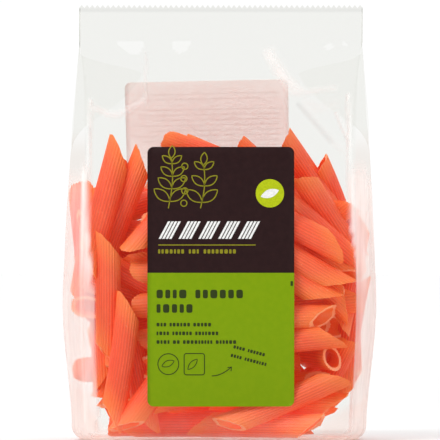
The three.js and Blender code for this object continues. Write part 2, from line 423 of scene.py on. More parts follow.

# Folds pressed into the front and back film, drawn as painted highlights and painted shade:
# path in (x, z), half width, milky share (painted highlight) and grey share (painted shade).
FOLD_GLARE_AND_SHADE = (
    (LEFT_CREASE, 0.8, 0.45, 0),
    (RIGHT_CREASE, 0.8, 0.45, 0),
    (((-47, 125), (-41.3, 122.5), (-38.3, 122.5), (-35.3, 124.3), (-28.5, 128.1)), 2.0, 0.22, 0),
    (((-28.5, 126), (-28.5, 135), (-28, 146)), 0.9, 0.2, 0.08),
    (((-50, 107), (-50, 112), (-49.6, 118)), 0.7, 0, 0.2),
    (((18.3, 145.8), (21.3, 140.2), (25.1, 134.9), (28.9, 131.9)), 3.4, 0.3, 0),
    (((26.6, 130.8), (31.9, 131.1), (42.8, 132.6)), 1.8, 0.16, 0),
    (((32.6, 127), (37.2, 125.1), (43.2, 126.6)), 3.5, 0.06, 0),
    (((31.1, 125.8), (38.7, 116.8), (47, 108.5)), 2.4, 0.07, 0),
    (((29.2, 126.6), (37.2, 117.9), (41.7, 112.6)), 1.1, 0, 0.14),
    (((43.6, 123.6), (46, 118), (49.2, 111.1)), 0.9, 0.25, 0),
)


def film_paint(rings):
    """Numbers for the film's material at each point: its milky share, haze with painted glare
    (haze_and_glare), its grey share of painted shade (shade), 1 off the panels (side), how much it
    mirrors the penne (warm) and has a panel's tint (panel)."""
    x, y, z = rings[..., 0], rings[..., 1], rings[..., 2]
    offset = x - lean_at(z)
    reach = np.abs(offset)
    inward = half_depth(z) - np.abs(y)
    on_panel = np.abs(y) > half_depth(z) * 0.97
    below_roof = ramp(z, SHOULDER_Z + 14, SHOULDER_Z)
    haze_and_glare = np.where(on_panel, PANEL_VEIL, 0)
    shade = np.zeros_like(haze_and_glare)
    # Painted highlights and painted shade along the folds.
    for path, width, milk_and_glare, grey in FOLD_GLARE_AND_SHADE:
        mask = stroke_mask(offset, z, path, width) * on_panel
        haze_and_glare = np.maximum(haze_and_glare, milk_and_glare * mask)
        shade = np.maximum(shade, grey * mask)
    creases = LEFT_CREASE, RIGHT_CREASE
    drawn = np.abs(np.where(offset < 0, *(np.interp(z, *np.transpose(c)[::-1]) for c in creases)))
    by_side = LOW_GLARE, HIGH_GLARE, GLARE_FULL, GLARE_END
    low, high, full, end = (np.where(offset < 0, *pair) for pair in by_side)
    glare = lerp(low, high, ramp(z, *GLARE_RISE)) * ramp(z, GLARE_TOP, GLARE_TOP - 12)
    haze_and_glare = np.maximum(haze_and_glare, glare * ramp(reach - drawn, 0, 0.8) * on_panel)
    near = ramp(inward, end, full) * ramp(z, 0, 10)
    side = np.maximum(SIDE_VEIL * ramp(z, GLARE_TOP - 3, GLARE_TOP - 13), glare * near)
    haze_and_glare = np.where(on_panel, haze_and_glare, side)
    # Painted glare on the film by the floor.
    for milk_and_glare, start, whole in LOW_PAINTED_GLARE:
        haze_and_glare = np.maximum(haze_and_glare, milk_and_glare * ramp(z, start, whole))
    teeth = ramp(z, HEIGHT - 3.2, HEIGHT - 2.0) * ramp(z, HEIGHT - 1.2, HEIGHT - 1.8)
    shade = np.maximum(shade, TEETH_SHADE * teeth)
    single = reach > crease_half_width(z) - 0.3
    warm = ramp(z, 36, 14) * ramp(reach - foot_limit(offset, z), -2, 2)
    warm = np.maximum(warm, np.where(on_panel, ramp(z, 4, 1), SIDE_WARMTH))
    return {"haze_and_glare": haze_and_glare, "shade": shade, "side": ~on_panel, "warm": warm * below_roof,
            "panel": np.maximum(on_panel, np.maximum(ROOF_EDGE * single, below_roof))}


def film_material():
    """Clear film: slightly grey, and milky with haze and painted glare where it is folded, crimped or
    seen edge on.
    """
    s = Shading("clear_film")
    streaks = s.noise(150, 3, (1, 1, 0.16))
    facing = s.node("LayerWeight", {"Blend": 0.5}).outputs["Facing"]
    square_on = s.times(s.attribute("side"), s.span(facing, 0.15, 0.5, 1, 0))
    # The milky share holds the film's haze and its painted glare and highlights.
    haze_and_glare_share = s.times(s.attribute("haze_and_glare"), s.span(square_on, 0, 1, 1, SQUARE_ON))
    share = s.times(haze_and_glare_share, s.span(streaks, 0.3, 0.7, 0.8, 1.2), clamp=True)
    tint = s.mix(s.attribute("panel"), GUSSET_TINT, FILM_TINT)
    tint = s.mix(s.attribute("warm"), tint, WARM_TINT)
    tint = s.mix(s.attribute("shade"), tint, SHADE_TINT)
    clear = s.node("BsdfTransparent", {"Color": tint})
    crinkle = s.noise(260, 2)
    white = s.mix(crinkle, linear(*LOW_WHITE), linear(*HIGH_WHITE))
    milk = s.mix(s.attribute("warm"), white, WARM_MILK)
    milk_and_glare = s.node("BsdfPrincipled", {
        "Base Color": milk,
        "Roughness": s.span(crinkle, 0.3, 0.7, 0.36, 0.46),
        "Specular IOR Level": MILKY_GLOSS,
        "Normal": s.bump(streaks, 0.04, 0.0004),
        # Painted glow: the milky film emits its own colour.
        "Emission Color": milk,
        "Emission Strength": FILM_GLOW,
    })
    s.owner.cycles.emission_sampling = "NONE"
    return s.finish(s.blend(share, clear, milk_and_glare))


def film():
    heights = film_heights()
    rings = film_rings(heights)
    around = rings.shape[1]
    last = rings[-1].copy()
    high = np.concatenate([np.arange(ACROSS_STEPS) % 2, np.zeros(AROUND_STEPS)] * 2)
    last[:, 2] = HEIGHT - TOOTH_HEIGHT * (1 - high)
    last[:, 1] = np.sign(last[:, 1]) * np.minimum(np.abs(last[:, 1]), SEAL_THICKNESS / 2)
    base = [rings[0] * [share, share, 1] for share in np.linspace(0, 1, BASE_RINGS + 2)[1:-1]]
    stack = np.concatenate([np.stack(base), rings, last[None]])
    points = stack.reshape(-1, 3)
    faces = grid_faces(len(stack), around, closed=True).tolist()
    centre = len(points)
    faces += [(centre, (i + 1) % around, i) for i in range(around)]
    points = np.vstack([points, [[0, 0, 0]]])
    piece = mesh_piece("film", points, faces, [film_material()])
    for name, values in film_paint(stack).items():
        paint(piece, name, np.append(values, 0))
    return piece


# ---- labels and prints

# The two colours that the mottle of each paper runs between.
PAPERS = {
    "dark_field": ((0.020, 0.0072, 0.0078, 1), (0.024, 0.0088, 0.0092, 1)),
    "green_field": ((0.190, 0.318, 0.001, 1), (0.205, 0.328, 0.0015, 1)),
    "back_paper": (linear(254, 236, 233), linear(255, 242, 240)),
    "glued_side": (linear(226, 222, 214), linear(236, 233, 226)),
}
INKS = {"olive": (138, 133, 22), "white": (240, 240, 238), "lime": (181, 196, 8), "dark": (45, 58, 10)}
BACK_INK, BACK_COVER = (140, 122, 120), 0.35
TUBE_STRIPES, TUBE_SLIT = 4, 0.3  # stripes of a printed tube, and the bare share between them
LINE, FINE_LINE = 0.42, 0.34  # widths of drawn lines
BACK_ROWS, ROW_PITCH = 41, 1.95  # lines of print on the back
EMPTY_ROWS, SHORT_ROWS = (2, 15, 28), (14, 27)
WORD_GAP = 0.6


def off_panel(x, z, side, out):
    """Points `out` off the front or back panel, measured square to it."""
    half_step = ((0.5, 0), (0, 0.5))
    slope_x, slope_z = (panel_y(x + dx, z + dz) - panel_y(x - dx, z - dz) for dx, dz in half_step)
    length = np.sqrt(1 + slope_x**2 + slope_z**2)
    y = panel_y(x, z) + out / length
    return np.stack([x - out * slope_x / length, side * y, z - out * slope_z / length], -1)


def on_label(u, v, label, side, out):
    """Label coordinates, right and up from its middle as its reader sees it, as points."""
    u, v = turned(np.asarray(u, float) * -side, v, label["tilt"])
    return off_panel(label["x"] + u, label["z"] + v, side, out)


def label_piece(name, label, side, materials, split=None):
    """A thin closed plate with round corners that follows the panel. The first material covers it,
    the second covers what is above `split`, and the last its glued side."""
    half, top, corner = label["width"] / 2, label["height"] / 2, LABEL_CORNER
    angle = np.linspace(0, np.pi / 2, 9)
    rounding = -top + corner * (1 - np.cos(angle))
    middle = np.linspace(-top + corner, top - corner, 60)[1:-1]
    v = np.concatenate([rounding, middle, -rounding[::-1]])
    if split is not None:
        v[np.argmin(np.abs(v - split))] = split
    sunk = np.minimum(corner, np.maximum(0, np.abs(v) - (top - corner)))
    reach = half - corner + np.sqrt(np.maximum(0, corner**2 - sunk**2))
    u = reach[:, None] * np.linspace(-1, 1, 29)[None]
    v = np.broadcast_to(v[:, None], u.shape)
    rows, columns = u.shape
    layers = [on_label(u, v, label, side, LABEL_GAP + d) for d in (0, LABEL_THICKNESS)]
    points = np.concatenate([layer.reshape(-1, 3) for layer in layers])
    inner = grid_faces(rows, columns)
    step = rows * columns
    outer = inner + step
    at = np.arange(step).reshape(rows, columns)
    rim = np.concatenate([at[:-1, 0], at[-1, :-1], at[:0:-1, -1], at[0, :0:-1]])
    ahead = np.roll(rim, -1)
    edge = np.stack([rim, ahead, ahead + step, rim + step], 1)
    faces = np.concatenate([inner[:, ::-1], outer, edge])
    field = np.zeros(len(faces), int)
    if split is not None:
        field[:] = v.ravel()[faces % step].mean(1) > split
    field[:len(inner)] = len(materials) - 1
    return mesh_piece(name, points, faces, materials, face_material=field)


def paper_material(name, roughness=0.42, glow=0.0):
    """Coated label paper with a faint mottle and fibre. `glow` is how much light soaks through it."""
    s = Shading(name)
    mottle = s.noise(420, 4)
    fibre = s.noise(2600, 3, (1, 1, 0.35))
    shader = s.node("BsdfPrincipled", {
        "Base Color": s.mix(s.span(mottle, 0.3, 0.7), *PAPERS[name]),
        "Roughness": s.span(fibre, 0.3, 0.7, roughness - 0.06, roughness + 0.1),
        "Specular IOR Level": 0.1,
        "Subsurface Weight": glow,
        "Subsurface Radius": (1.0, 1.0, 1.0),
        "Subsurface Scale": 0.001,
        "Normal": s.bump(fibre, 0.12, 0.0002),
    })
    return s.finish(shader)


def ink_material(name, colour, cover=1.0):
    """Printed ink that lets a little of the paper's mottle through. `cover` is how dense it is."""
    s = Shading(name)
    wear = s.noise(1500, 3)
    darker = tuple(0.86 * c for c in colour[:3]) + (1.0,)
    shader = s.node("BsdfPrincipled", {
        "Base Color": s.mix(s.span(wear, 0.35, 0.65), darker, colour),
        "Roughness": s.span(wear, 0.3, 0.7, 0.36, 0.5),
        "Specular IOR Level": 0.2,
        "Normal": s.bump(wear, 0.08, 0.0001),
    })
    if cover < 1:
        paper = s.node("BsdfTransparent")
        density = s.span(wear, 0.3, 0.7, 0.9 * cover, 1.1 * cover)
        shader = s.blend(density, paper, shader)
    return s.finish(shader)


class Print:
    """Flat shapes of one ink that follow a label, in the label's own millimetres."""

    def __init__(self, label, side):
        self.label, self.side, self.lift = label, side, PRINT_GAP
        self.points, self.faces = [], []

    def add(self, u, v, faces):
        start = sum(len(p) for p in self.points)
        out = LABEL_GAP + LABEL_THICKNESS + self.lift
        self.points.append(on_label(u, v, self.label, self.side, out).reshape(-1, 3))
        self.faces += [[start + i for i in face] for face in faces]

    def patch(self, u, v):
        """A grid of points, `u` and `v` arrays of rows and columns."""
        self.add(u, v, grid_faces(*u.shape))

    def bar(self, u0, u1, v0, v1, slant=0.0):
        """A bar with softly rounded ends, `slant` degrees up from level round its left end."""
        width, height = u1 - u0, v1 - v0
        round_off = min(height, width) * 0.3
        steps = max(2, int(width / 2.5))
        middle = np.linspace(round_off, width - round_off, steps)
        across = np.concatenate([[0, 0.3 * round_off], middle, [width - 0.3 * round_off, width]])
        inset = np.array([1, 0.25] + [0] * steps + [0.25, 1]) * round_off
        u, v = turned(np.stack([across, across]), np.stack([inset, height - inset]), slant)
        self.patch(u0 + u, v0 + v)

    def blocks(self, u, v, height, counts, gap, draw, slant=0.0):
        """A line of small print as groups of small blocks, `counts` in each."""
        across, up = turned(1, 0, slant)
        for count in counts:
            for width in height * draw.uniform(0.45, 0.85, count):
                self.bar(u, u + width, v, v + height, slant)
                step = width + 0.3 * height
                u, v = u + step * across, v + step * up
            u, v = u + gap * across, v + gap * up

    def tube(self, u, v, length, width, angle):
        """A ridged pasta tube as parallel stripes, cut level at both ends."""
        run, climb = turned(length, 0, angle)
        up = np.array([[0], [0.5], [1]])
        for k in range(TUBE_STRIPES):
            share = k + np.array([[TUBE_SLIT / 2, 1 - TUBE_SLIT / 2]])
            edges = u + share * width / TUBE_STRIPES
            self.patch(edges + run * up, v + climb * up)

    def disc(self, u, v, radius):
        across, up = circle(48)
        reach = radius * np.array([[0.02], [0.5], [1]])
        self.add(u + reach * across, v + reach * up, [*grid_faces(3, 48, closed=True), range(48)])

    def stroke(self, points, width, closed=False):
        """A ribbon of even width along a path."""
        p = np.array(points, float)
        padded = np.vstack([p[-1:], p, p[:1]] if closed else [p[:1], p, p[-1:]])
        along = unit(padded[2:] - padded[:-2])
        aside = np.stack([-along[:, 1], along[:, 0]], 1) * width / 2
        band = np.stack([p - aside, p + aside])
        if closed:
            band = np.concatenate([band, band[:, :1]], 1)
        self.patch(band[..., 0], band[..., 1])

    def leaf(self, u, v, length, width, angle, line=None):
        """A pointed oval from (u, v), filled or drawn as an outline `line` wide."""
        t = np.linspace(0, 1, 15)
        bulge = width / 2 * np.sin(np.pi * t) ** 0.8
        across, up = turned(np.stack([length * t] * 2), np.stack([-bulge, bulge]), angle)
        if line is None:
            self.patch(u + across, v + up)
        else:
            lower, upper = np.stack([u + across, v + up], -1)
            self.stroke(np.vstack([upper, lower[-2:0:-1]]), line, closed=True)

    def ring(self, u, v, radius, line):
        across, up = circle(36)
        self.stroke(np.stack([u + radius * across, v + radius * up], 1), line, closed=True)

    def piece(self, name, material):
        return mesh_piece(name, np.vstack(self.points), self.faces, [material], smooth_faces=False)


def sprig(ink, u, v, height, pairs):
    """An outline sprig: a curved stem with pairs of leaves that get smaller towards its tip."""
    t = np.linspace(0, 1, 17)
    stem = np.stack([u + 1.6 * np.sin(2.4 * t), v + height * t], 1)
    ink.stroke(stem, LINE)
    for k in range(pairs):
        share = 0.14 + 0.74 * k / (pairs - 1)
        at = [np.interp(share, t, path) for path in stem.T]
        size = lerp(1.0, 0.62, k / (pairs - 1))
        for turn in (38, 142):
            ink.leaf(*at, 7.4 * size, 3.5 * size, turn, LINE)
    ink.leaf(stem[-1, 0], stem[-1, 1] - 0.3, 4.6, 2.4, 84, LINE)


def front_prints():
    """Generic discs, rules, bars and plant shapes in the colours and scale of a pantry label."""
    inks = {name: Print(FRONT_LABEL, FRONT) for name in INKS}
    olive, white, lime, dark = inks.values()
    white.lift = 2 * PRINT_GAP
    draw = np.random.default_rng(3)

    lime.disc(18.3, 31.2, 5.3)
    white.leaf(14.9, 29.9, 7.2, 3.1, 20)

    for k, u in enumerate((-19.6, -7.6)):
        sprig(olive, u, 25.6, 19.0 - 2.5 * k, 4 - k)
    for k in range(4):
        olive.ring(-13.8 + 0.35 * (k % 2), 27.5 + 4.6 * k, 1.15, LINE)

    for k in range(5):
        white.tube(-23.4 + 7.4 * k, 14.2, 7.4, 5.2, 62)
    olive.bar(-23.4, 13.0, 11.7, 12.1)
    olive.blocks(-23.4, 8.7, 1.6, (7, 3, 8), 1.3, draw)

    for v, height, counts, gap in (
            (-8.0, 3.2, (4, 6), 2.4),
            (-13.4, 3.2, (5,), 2.4),
            (-18.5, 1.35, (3, 6, 5), 0.9),
            (-21.75, 1.35, (4, 6, 7), 0.9),
            (-25.0, 1.35, (4, 2, 9, 6), 0.9)):
        dark.blocks(-24.0, v, height, counts, gap, draw)

    dark.ring(-19.6, -32.6, 3.9, FINE_LINE)
    dark.leaf(-22.0, -33.4, 5.0, 2.2, 24, 0.3)
    angle = np.concatenate([np.linspace(0, np.pi / 2, 6) + quarter * np.pi / 2 for quarter in range(4)])
    side, end = np.repeat([1, -1, -1, 1], 6), np.repeat([1, 1, -1, -1], 6)
    box = [-9.9 + 2.9 * side + 0.9 * np.cos(angle), -32.6 + 3.1 * end + 0.9 * np.sin(angle)]
    dark.stroke(np.stack(box, 1), FINE_LINE, closed=True)
    dark.leaf(-12.3, -34.6, 5.2, 2.0, 48, 0.3)
    sweep = np.linspace(0, 1, 13)
    dark.stroke(np.stack([-3.4 + 7.4 * sweep, -37.0 + 3.4 * sweep**2], 1), FINE_LINE)
    dark.stroke([(2.5, -33.9), (4.0, -33.6), (3.8, -35.2)], FINE_LINE)
    dark.blocks(4.6, -26.6, 1.2, (4, 6), 0.9, draw, slant=-15)
    dark.blocks(3.6, -29.8, 1.2, (4, 8), 0.9, draw, slant=-15)
    dark.bar(26.0, 26.9, -3.4, -1.6)

    return [ink.piece(f"print_{name}", ink_material(f"{name}_ink", linear(*INKS[name])))
            for name, ink in inks.items()]


def back_prints():
    """Rows of bars that stand for the fine print on the back label."""
    grey = Print(BACK_LABEL, BACK)
    draw = np.random.default_rng(5)
    for k in range(BACK_ROWS):
        if k in EMPTY_ROWS:
            continue
        lengths = draw.uniform(3.0, 9.5, 12)
        room = 30 if k in SHORT_ROWS else 56
        u, v = -27.5, 42.5 - ROW_PITCH * k
        for length in lengths[np.cumsum(lengths + WORD_GAP) < room]:
            grey.bar(u, u + length, v, v + 0.32)
            u += length + WORD_GAP
    grey.stroke([(8, -42), (25, -42), (25, -39), (8, -39)], 0.3, closed=True)
    return [grey.piece("print_grey", ink_material("grey_ink", linear(*BACK_INK), BACK_COVER))]


def labels():
    dark, green = paper_material("dark_field"), paper_material("green_field")
    pale, glued = paper_material("back_paper", 0.5, 1.0), paper_material("glued_side", 0.5)
    front = label_piece("label_front", FRONT_LABEL, FRONT, [green, dark, glued], FIELD_SPLIT)
    back = label_piece("label_back", BACK_LABEL, BACK, [pale])
    return front, back


# ---- penne

PENNE_RADIUS = 4.65
PENNE_WALL = 1.2
TIP_ROUNDING = 1.1  # how much the tip of a cut end is worn back
PENNE_LENGTH = 55.5  # from tip to tip
CUT_ANGLE = math.radians(38)  # between a cut end and the tube's axis
RIDGES = 26
RIDGE_DEPTH = 0.3
CUT_REACH = PENNE_RADIUS / math.tan(CUT_ANGLE)
HALF_AXIS = (PENNE_LENGTH - 2 * CUT_REACH) / 2
OUTER_RINGS, INNER_RINGS = 5, 3  # rings of points along a tube's outside and inside
OUTER_ROUND, INNER_ROUND = 3 * RIDGES, RIDGES
SIZES, OVALNESS, BENDS = (0.96, 1.03), (-0.05, 0.05), (0.2, 1.3)  # how the tubes vary
RAGGED = 0.3  # unevenness of the cut ends
PENNE_COUNT = 104
PENNE_LIFT = 1.2  # how far the film holds the lowest penne off the floor
LOOSE_SPREAD = (1.0, 0.4, 0.75)  # how strongly the loose ones point along X, Y and Z
LOOSE_ROLL = (1.0, 0.35, 1)  # the same for the tips of their cut ends
STREW_LOW, STREW_HIGH = (-42, -17, 10), (42, 22, 102)  # where their middles start
SINKING = 0.25  # how far a loose one sinks in the first step
QUICK_STEPS, FULL_STEPS = 40, 360
CONTACT_REACH = 1.5  # how far a contact runs past the ends of a tube's axis
PUSH = 1.2  # share of an overlap that one step takes away
SEEN_YIELD = 0.5  # how far a seen one gives way, beside a loose one
HOLD = (0.35, 0.02, 0.35)  # how strongly it is drawn back to its place, along X, Y and Z
SIDE_AIR, PANEL_AIR = 0.5, 0.45  # clear of the film at the sides and at the front and back
LOOSE_DEPTH = 14.0  # how far behind the front film the axes of the loose ones stay
FILL_TOP, SIDE_TOP, EDGE_TOP = 106.0, 95.0, 88.0  # top of the loose ones: middle, beside, edge
SEED = 13
PENNE_GLOW = 0.09  # painted glow: emission that stands in for light soaking through the thin walls
FLOOR_GLOW = 0.27  # the painted glow close to the floor, which mirrors more light from below
FLOOR_GLOW_TOP = 24.0

# Penne that show through the front film: x, z and depth behind the film of the tip that shows, the
# same of the other end, and how far the tip is rolled towards the viewer, in degrees.
SEEN = (
    # at the left
    (-40.6, 115.3, 4, -47, 60.2, 18, 176),
    (-49.2, 99.1, 17, -51.1, 44.3, 20, 170),
    (-31.9, 111.5, 8, -41.5, 62, 28, 170),
    (-37.2, 108.1, 19, -40.6, 54.5, 25, 160),
    (-47, 79.1, 4, -36.8, 24.3, 21, 168),
    (-47, 15.7, 20, -40.6, 70.4, 27, 0),
    (-38.3, 57.2, 4.5, -41.5, 3.2, 8, 172),
    (-42.5, 1.7, 5, -4.7, 41.7, 10, -25),
    # left of the label and behind it
    (-38.7, 71.1, 9, 3.6, 107, 16, 20),
    (-37.2, 68.9, 13, 10, 48.9, 16, 160),
    (-34.9, 65.8, 12, 18.3, 58.3, 12, 60),
    (-34.9, 50, 14, 19.1, 52.6, 14, 90),
    (-32.3, 39.1, 14, 20.9, 41.3, 14, 60),
    (-31.1, 27.7, 10, 11.5, 30.8, 24, -90),
    (-38.3, 20.6, 16, 11.5, 35.7, 18, 90),
    (-36, 34, 28, 16, 34, 33, 90),
    # at the sides
    (-58.3, 51.1, 20, -4.7, 55.7, 34, -70),
    (-57.9, 26.2, 22, -5.5, 28.5, 30, 90),
    (-54.2, 98.7, 20, -45.5, 45.8, 26, 90),
    (-58.3, 68.5, 24, -5.5, 75.3, 36, 90),
    (54.6, 70, 45, 54.2, 16, 40, 10),
    (55, 64, 30, 55, 12, 22, 10),
    # at the bottom
    (-25.5, 9.6, 8, 29.6, 25.8, 20, 180),
    (-40, 3, 17, 12.5, 4.2, 19, 60),
    (44.3, 10, 5, -9.2, 1.7, 13, 180),
    # at the top
    (-23.6, 113.8, 8, 24.7, 94.2, 16, 90),
    (-14.5, 114.2, 14, 29.5, 94, 32, 60),
    (7, 113.4, 26, 36, 84, 50, 60),
    # at the right
    (25.5, 117.5, 7, 43.3, 79.5, 43, 38),
    (38.4, 106.6, 18, 55, 71, 50, 32),
    (27.6, 99.5, 5, 56.1, 68.6, 41, 139),
    (16, 101.5, 16, 46.5, 68, 18, -60),
    (47, 66.6, 9, 0.9, 97.2, 9, 30),
    (51.9, 58.8, 8, 0.9, 80.6, 10, 180),
    (47.4, 53.8, 12, -1.7, 77.2, 10, 180),
    (45.5, 50, 6, -7.4, 43.2, 12, 225),
    (48.5, 42.5, 14, 18.3, 84.7, 13, 0),
    (48.1, 39.1, 9, 55, 84, 33, 160),
    (49.4, 35.5, 6, -5.1, 38.3, 7, 0),
    (40.9, 27.4, 13, 35.7, 33.8, 60, 0),
    (48, 38.3, 12, 44, 7, 52, 90),
    (51.5, 21.7, 4, -4.3, 7.4, 6, 25),
    (50, 17.9, 8, -2.8, 11.5, 20, 180),
    (49.5, 42, 25, -4, 44, 32, -90),
    (33, 28, 27, -20, 27, 33, 90),
)


def seen_rods():
    """Axis ends and roll directions of the penne that show, from their tips."""
    table = np.array(SEEN, float)
    near, far = table[:, [0, 2, 1]], table[:, [3, 5, 4]]
    for tip in (near, far):
        tip[:, 1] -= panel_y(tip[:, 0], tip[:, 2])
        away = 1 + tip[:, 1] * MM / CAMERA_DISTANCE
        tip[:, 2] = EYE_HEIGHT + (tip[:, 2] - EYE_HEIGHT) * away
        tip[:, 0] *= away
    span = unit(near - far)
    viewer = np.array([0.0, -1.0, 0.0])
    viewer = unit(viewer - span * (span @ viewer)[:, None])
    aside = np.cross(span, viewer)
    roll = np.radians(table[:, 6])[:, None]
    tip_side = np.cos(roll) * aside + np.sin(roll) * viewer
    skew = math.asin(2 * PENNE_RADIUS / math.hypot(PENNE_LENGTH, 2 * PENNE_RADIUS))
    axis = math.cos(skew) * span - math.sin(skew) * tip_side
    roll_side = math.sin(skew) * span + math.cos(skew) * tip_side
    first = near - CUT_REACH * axis - PENNE_RADIUS * roll_side
    return np.stack([first, first - 2 * HALF_AXIS * axis], 1), roll_side


def loose_rods(count, draw):
    """Axis ends of penne strewn at random over the bag, before they settle."""
    middle = draw.uniform(STREW_LOW, STREW_HIGH, (count, 3))
    half = HALF_AXIS * unit(draw.normal(0, 1, (count, 3)) * LOOSE_SPREAD)
    return np.stack([middle + half, middle - half], 1), draw.normal(0, 1, (count, 3)) * LOOSE_ROLL


def nearest_shares(a0, a1, b0, b1):
    """Where two sets of line segments come closest, as shares along each."""
    d1, d2, r = a1 - a0, b1 - b0, a0 - b0
    a, e = (d1 * d1).sum(1), (d2 * d2).sum(1)
    b, c, f = (d1 * d2).sum(1), (d1 * r).sum(1), (d2 * r).sum(1)
    bottom = a * e - b * b
    s = np.clip(np.where(bottom > 1e-6, (b * f - c * e) / np.maximum(bottom, 1e-6), 0.5), 0, 1)
    t = np.clip((b * s + f) / e, 0, 1)
    return np.clip((b * t - c) / a, 0, 1), t


def push_apart(ends, pairs, movable):
    """Moves touching tubes away from each other."""
    axis = unit(ends[:, 0] - ends[:, 1])
    long = ends + CONTACT_REACH * np.stack([axis, -axis], 1)
    i, j = pairs
    s, t = nearest_shares(long[i, 0], long[i, 1], long[j, 0], long[j, 1])
    p = long[i, 0] + s[:, None] * (long[i, 1] - long[i, 0])
    q = long[j, 0] + t[:, None] * (long[j, 1] - long[j, 0])
    gap = p - q
    distance = np.linalg.norm(gap, axis=1)
    hit = distance < 2 * PENNE_RADIUS
    i, j, s, t, gap, distance = i[hit], j[hit], s[hit], t[hit], gap[hit], distance[hit]
    away = gap / np.maximum(distance, 1e-6)[:, None]
    away[distance < 1e-3] = (0, 1, 0)
    total = movable[i] + movable[j]
    depth = (2 * PENNE_RADIUS - distance) / np.maximum(total, 1e-6)
    move = np.zeros_like(ends)
    hits = np.full(len(ends), 1e-9)
    for index, share, sign in ((i, s, 1), (j, t, -1)):
        weight = np.stack([1 - share, share], 1)
        weight = weight / (weight**2).sum(1, keepdims=True)
        step = sign * (depth * movable[index])[:, None] * away
        np.add.at(move, index, weight[:, :, None] * step[:, None])
        np.add.at(hits, index, 1.0)
    return ends + PUSH * move / np.maximum(1, hits)[:, None, None]


def foot_limit(x, z):
    """How far the penne reach to the left or right close to the floor, where the corners stay empty."""
    left = 43.5 + 5.5 * ramp(z, 3, 15) + 9 * ramp(z, 17, 25)
    right = 38 + 20 * ramp(z, 3, 21)
    return np.where(x < 0, left, right)


def into_bag(points, radius):
    """Points moved so that a ball of this radius round each is inside the film."""
    x, y, z = points[..., 0], points[..., 1], points[..., 2]
    z = np.maximum(z, radius + PENNE_LIFT)
    low = np.minimum(z, SHOULDER_Z + 16)
    room = np.minimum(side_x(y, low), foot_limit(x, low)) - radius - SIDE_AIR
    lean = lean_at(low)
    x = np.clip(x, lean - room, lean + room)
    depth = panel_y(x, np.minimum(z, SHOULDER_Z + 25)) - foot_inset(z) - radius - PANEL_AIR
    y = np.clip(y, -depth, depth)
    return np.stack([x, y, z], -1)


def fill_top(x):
    middle = lerp(FILL_TOP, SIDE_TOP, ramp(np.abs(x), 18, 28))
    return np.minimum(middle, lerp(SIDE_TOP, EDGE_TOP, ramp(np.abs(x), 34, 46)))


def stay_inside(ends, roll_side, loose):
    """Keeps the tubes' axes and tips inside the film, and the loose ones back and low enough."""
    axis = unit(ends[:, 0] - ends[:, 1])
    side = unit(roll_side - axis * (roll_side * axis).sum(1, keepdims=True))
    ends = into_bag(ends, PENNE_RADIUS)
    front = LOOSE_DEPTH - panel_y(ends[..., 0], np.clip(ends[..., 2], 0, SHOULDER_Z))
    ends[..., 1] = np.where(loose[:, None], np.maximum(ends[..., 1], front), ends[..., 1])
    tip = CUT_REACH * axis + PENNE_RADIUS * side
    tips = ends + np.stack([tip, -tip], 1)
    inside = into_bag(tips, 0.6)
    top = np.where(loose[:, None], fill_top(inside[..., 0]), HEIGHT)
    inside[..., 2] = np.minimum(inside[..., 2], top)
    return ends + (inside - tips)


def keep_length(ends):
    middle = ends.mean(1)
    half = HALF_AXIS * unit(ends[:, 0] - ends[:, 1])
    return np.stack([middle + half, middle - half], 1)


def settle(ends, roll_side, fixed_count, steps):
    """Lets the loose penne sink and all of them push clear of each other and of the film."""
    count = len(ends)
    target = ends[:fixed_count].copy()
    pairs = np.array(np.triu_indices(count, 1))
    loose = np.arange(count) >= fixed_count
    movable = np.where(loose, 1.0, SEEN_YIELD)
    for step in range(steps):
        ends[fixed_count:, :, 2] -= SINKING * max(0, 1 - 2 * step / steps)
        for _ in range(3):
            ends = push_apart(ends, pairs, movable)
            ends[:fixed_count] += np.array(HOLD) * (target - ends[:fixed_count])
            ends = keep_length(stay_inside(ends, roll_side, loose))
    return ends


def pack_penne():
    """Axis ends and roll directions of all the penne, the ones that show first."""
    draw = np.random.default_rng(SEED)
    seen, seen_side = seen_rods()
    loose, loose_side = loose_rods(PENNE_COUNT - len(seen), draw)
    ends = np.concatenate([seen, loose])
    sides = np.concatenate([seen_side, loose_side])
    steps = FULL_STEPS
    return keep_length(settle(ends, sides, len(seen), steps)), sides


